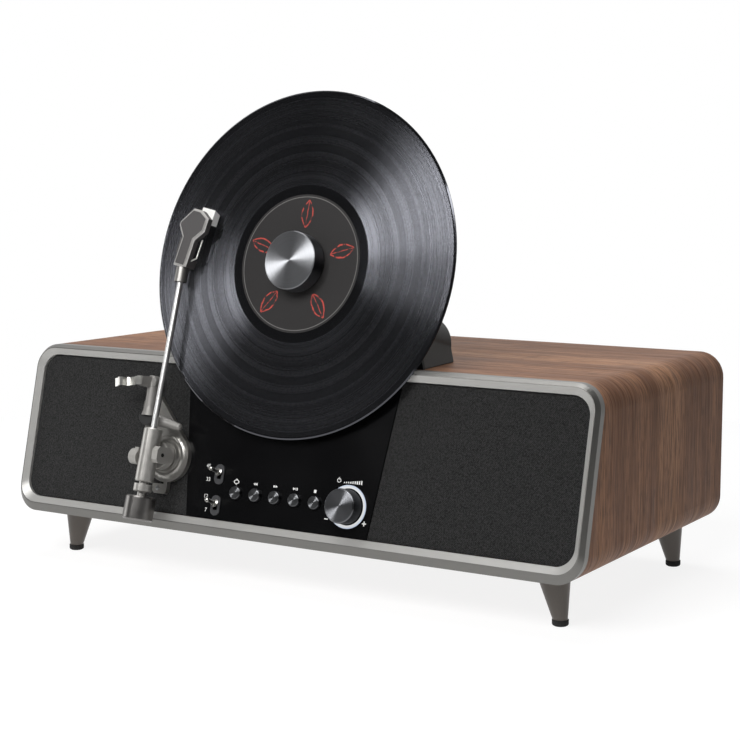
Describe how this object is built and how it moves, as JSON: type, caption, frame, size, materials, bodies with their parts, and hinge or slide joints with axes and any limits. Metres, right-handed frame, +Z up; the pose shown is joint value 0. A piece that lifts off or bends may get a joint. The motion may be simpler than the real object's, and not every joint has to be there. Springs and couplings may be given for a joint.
{
  "type": "vertical record player",
  "caption": "Low walnut cabinet on splayed legs with a leaning front of grilles and controls; a record turns upright on a tower behind it under a pivoted tonearm.",
  "frame": {"origin": "bottom centre of the bounding box, on the surface the tips stand on", "axes": "+X to the right seen from the front, +Y to the rear, +Z up"},
  "size_m": [0.574, 0.3368, 0.4231],
  "materials": {
    "walnut": "oiled veneer, satin",
    "bezel_metal": "brushed and clear coated",
    "grille_cloth": "fine woven cloth on a frame",
    "panel_gloss": "high gloss black",
    "board_wood": "raw fibreboard",
    "speaker_metal": "satin black",
    "cone_paper": "pressed paper, matte",
    "back_board": "fine grain",
    "screw_steel": "zinc plated",
    "jack_gold": "plated, bright",
    "black_plastic": "moulded",
    "circuit_board": "lacquered",
    "dark_aluminium": "spun, dark anodised",
    "satin_grey": "satin",
    "chrome_plate": "mirror bright",
    "light_guide": "milky, lit from behind",
    "leg_paint": "satin taupe grey",
    "rubber": "matte",
    "tower_paint": "matte dark grey",
    "plate_black": "matte black",
    "vinyl": "pressed grooves",
    "label_print": "printed paper",
    "felt": "felted",
    "bearing_bronze": "turned",
    "cast_metal": "turned casting",
    "cartridge_white": "moulded",
    "stylus_red": "ground tip in a red holder"
  },
  "bodies": {
    "cabinet": {"cabinet_shell": "walnut", "front_bezel": "bezel_metal", "left_grille": "grille_cloth", "right_grille": "grille_cloth", "control_panel": "panel_gloss", "baffle_board": "board_wood", "left_speaker": "speaker_metal", "right_speaker": "speaker_metal", "speaker_cones": "cone_paper", "back_panel": "back_board", "back_screws": "screw_steel", "arm_screws": "screw_steel", "line_out_jacks": "jack_gold", "jack_plate": "black_plastic", "power_inlet": "black_plastic", "toggle_switches": "black_plastic", "drive_belt": "black_plastic", "rest_collar": "black_plastic", "amplifier_board": "circuit_board", "control_board": "circuit_board", "arm_base": "satin_grey", "rest_post": "satin_grey", "volume_control": "satin_grey", "rest_clip": "chrome_plate", "toggle_plates": "chrome_plate", "led_ring": "light_guide", "leg_front_left": "leg_paint", "leg_front_right": "leg_paint", "leg_rear_left": "leg_paint", "leg_rear_right": "leg_paint", "leg_tips": "rubber", "tower_housing": "tower_paint", "tower_plate": "plate_black", "platter_bearing": "bearing_bronze", "drive_motor": "cast_metal"},
    "platter": {"platter": "cast_metal", "slipmat": "felt", "spindle": "cast_metal", "record": "vinyl", "record_label": "label_print"},
    "pulley": {"motor_pulley": "jack_gold"},
    "clamp": {"record_clamp": "dark_aluminium"},
    "yoke": {"arm_yoke": "satin_grey"},
    "arm": {"pivot_housing": "satin_grey", "arm_tube": "chrome_plate", "headshell": "satin_grey", "cartridge": "cartridge_white", "stylus": "stylus_red", "finger_lift": "chrome_plate"},
    "counterweight": {"counterweight": "dark_aluminium"},
    "cue_lift": {"cue_lift_bar": "satin_grey"},
    "knob": {"volume_knob": "dark_aluminium"},
    "speed_lever": {"speed_toggle": "chrome_plate"},
    "size_lever": {"size_toggle": "chrome_plate"},
    "source_button": {"source_button": "dark_aluminium"},
    "previous_button": {"previous_button": "dark_aluminium"},
    "next_button": {"next_button": "dark_aluminium"},
    "play_button": {"play_button": "dark_aluminium"},
    "stop_button": {"stop_button": "dark_aluminium"}
  },
  "joints": [
    {"name": "platter_spin", "type": "hinge", "parent": "cabinet", "child": "platter", "pos_m": [0, -0.0708, 0.27481], "axis": [0, -0.9724, 0.2334], "continuous": true},
    {"name": "pulley_spin", "type": "hinge", "parent": "cabinet", "child": "pulley", "pos_m": [0.05056, -0.0807, 0.23356], "axis": [0, -0.9724, 0.2334], "continuous": true},
    {"name": "clamp_pull", "type": "slide", "parent": "platter", "child": "clamp", "axis": [0, -0.9724, 0.2334], "range_m": [0, 0.03]},
    {"name": "arm_swing", "type": "hinge", "parent": "cabinet", "child": "yoke", "pos_m": [-0.118, -0.11163, 0.10475], "axis": [0, -0.9724, 0.2334], "range_deg": [-11, 32.4]},
    {"name": "arm_lift", "type": "hinge", "parent": "yoke", "child": "arm", "pos_m": [-0.118, -0.13983, 0.11152], "axis": [0.9997, -0.0061, -0.0255], "range_deg": [0, 8]},
    {"name": "weight_slide", "type": "slide", "parent": "arm", "child": "counterweight", "axis": [-0.0262, -0.274, -0.9614], "range_m": [-0.003, 0.006]},
    {"name": "cue_raise", "type": "slide", "parent": "cabinet", "child": "cue_lift", "axis": [0, -0.9724, 0.2334], "range_m": [0, 0.0022]},
    {"name": "volume_turn", "type": "hinge", "parent": "cabinet", "child": "knob", "pos_m": [0.071, -0.11735, 0.08092], "axis": [0, -0.9724, 0.2334], "range_deg": [-150, 150]},
    {"name": "speed_tip", "type": "hinge", "parent": "cabinet", "child": "speed_lever", "pos_m": [-0.062, -0.10435, 0.0922], "axis": [1, 0, 0], "range_deg": [0, 20]},
    {"name": "size_tip", "type": "hinge", "parent": "cabinet", "child": "size_lever", "pos_m": [-0.062, -0.11066, 0.06595], "axis": [1, 0, 0], "range_deg": [0, 20]},
    {"name": "source_press", "type": "slide", "parent": "cabinet", "child": "source_button", "axis": [0, 0.9724, -0.2334], "range_m": [0, 0.0012], "stiffness_N_per_m": 300, "springref_m": -0.0004},
    {"name": "previous_press", "type": "slide", "parent": "cabinet", "child": "previous_button", "axis": [0, 0.9724, -0.2334], "range_m": [0, 0.0012], "stiffness_N_per_m": 300, "springref_m": -0.0004},
    {"name": "next_press", "type": "slide", "parent": "cabinet", "child": "next_button", "axis": [0, 0.9724, -0.2334], "range_m": [0, 0.0012], "stiffness_N_per_m": 300, "springref_m": -0.0004},
    {"name": "play_press", "type": "slide", "parent": "cabinet", "child": "play_button", "axis": [0, 0.9724, -0.2334], "range_m": [0, 0.0012], "stiffness_N_per_m": 300, "springref_m": -0.0004},
    {"name": "stop_press", "type": "slide", "parent": "cabinet", "child": "stop_button", "axis": [0, 0.9724, -0.2334], "range_m": [0, 0.0012], "stiffness_N_per_m": 300, "springref_m": -0.0004}
  ],
  "couplings": [
    {"joint": "pulley_spin", "follows": "platter_spin", "ratio": 8.3333}
  ]
}
